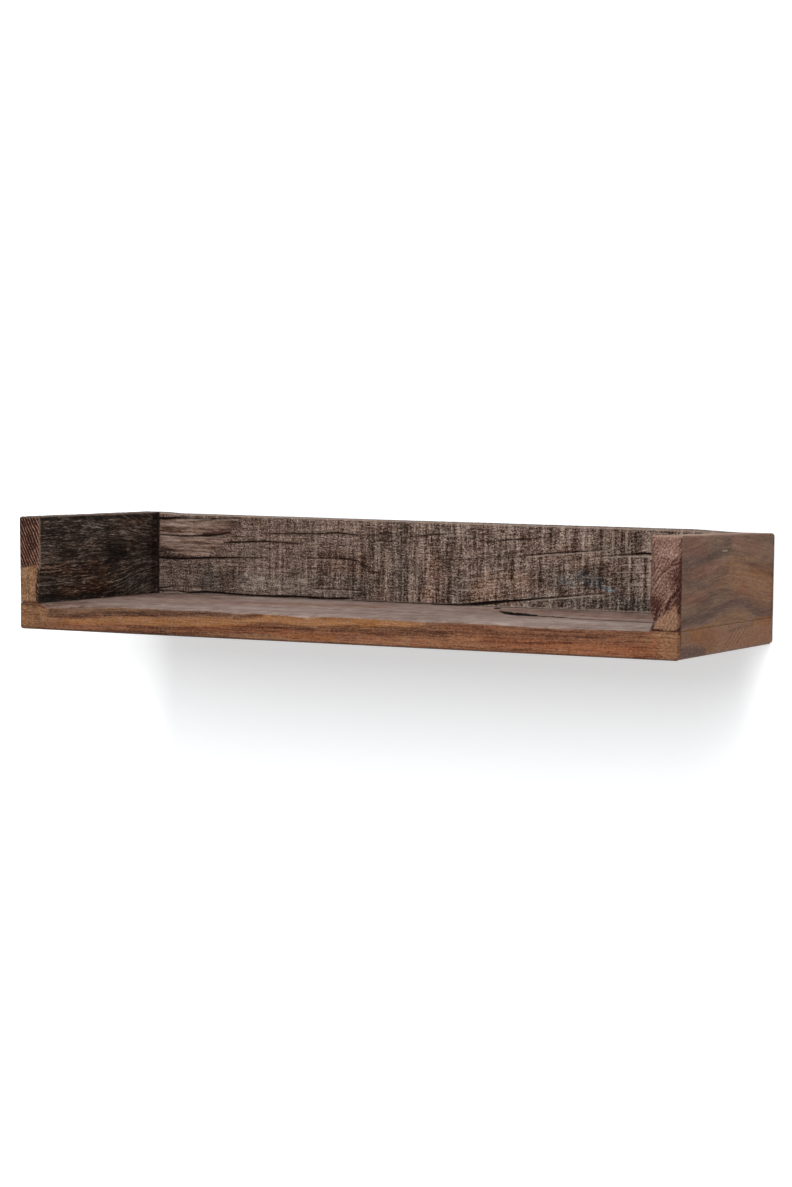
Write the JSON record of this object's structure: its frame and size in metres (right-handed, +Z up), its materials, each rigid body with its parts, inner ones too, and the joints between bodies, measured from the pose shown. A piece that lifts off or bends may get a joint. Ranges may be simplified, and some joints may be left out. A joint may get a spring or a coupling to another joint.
{
  "type": "floating wall shelf",
  "caption": "Open tray-shaped wall shelf of thick reclaimed hardwood boards, with end boards and a back board on a full-width base, hung on hidden keyhole plates.",
  "frame": {"origin": "on the wall plane, midway between the entry holes of the two keyhole plates", "axes": "+X to the right of someone who faces the shelf, +Y into the wall, +Z up"},
  "size_m": [0.7023, 0.23, 0.111],
  "materials": {
    "reclaimed_wood_base": "planed front edge and ends with a thin satin oil, weathered grey-brown top",
    "reclaimed_wood_left_end": "dark weathered face, red-brown end grain",
    "reclaimed_wood_right_end": "planed outer face with a thin satin oil, pinkish brown end grain",
    "reclaimed_wood_back": "rough-sawn, grey-brown, with upright saw marks and drying cracks",
    "beech_dowel": "plain fluted beech",
    "screw_steel": "yellow zinc passivated",
    "zinc_plate": "bright zinc plated, stamped"
  },
  "bodies": {
    "root": {"base_board": "reclaimed_wood_base", "left_end_board": "reclaimed_wood_left_end", "right_end_board": "reclaimed_wood_right_end", "back_board": "reclaimed_wood_back", "left_end_dowel_front": "beech_dowel", "left_end_dowel_rear": "beech_dowel", "right_end_dowel_front": "beech_dowel", "right_end_dowel_rear": "beech_dowel", "left_back_dowel_lower": "beech_dowel", "left_back_dowel_upper": "beech_dowel", "right_back_dowel_lower": "beech_dowel", "right_back_dowel_upper": "beech_dowel", "left_end_screw_front": "screw_steel", "left_end_screw_rear": "screw_steel", "right_end_screw_front": "screw_steel", "right_end_screw_rear": "screw_steel", "back_screw_left": "screw_steel", "back_screw_middle": "screw_steel", "back_screw_right": "screw_steel", "left_hanger_plate": "zinc_plate", "right_hanger_plate": "zinc_plate", "left_plate_screw_lower": "screw_steel", "left_plate_screw_upper": "screw_steel", "right_plate_screw_lower": "screw_steel", "right_plate_screw_upper": "screw_steel"}
  },
  "joints": []
}
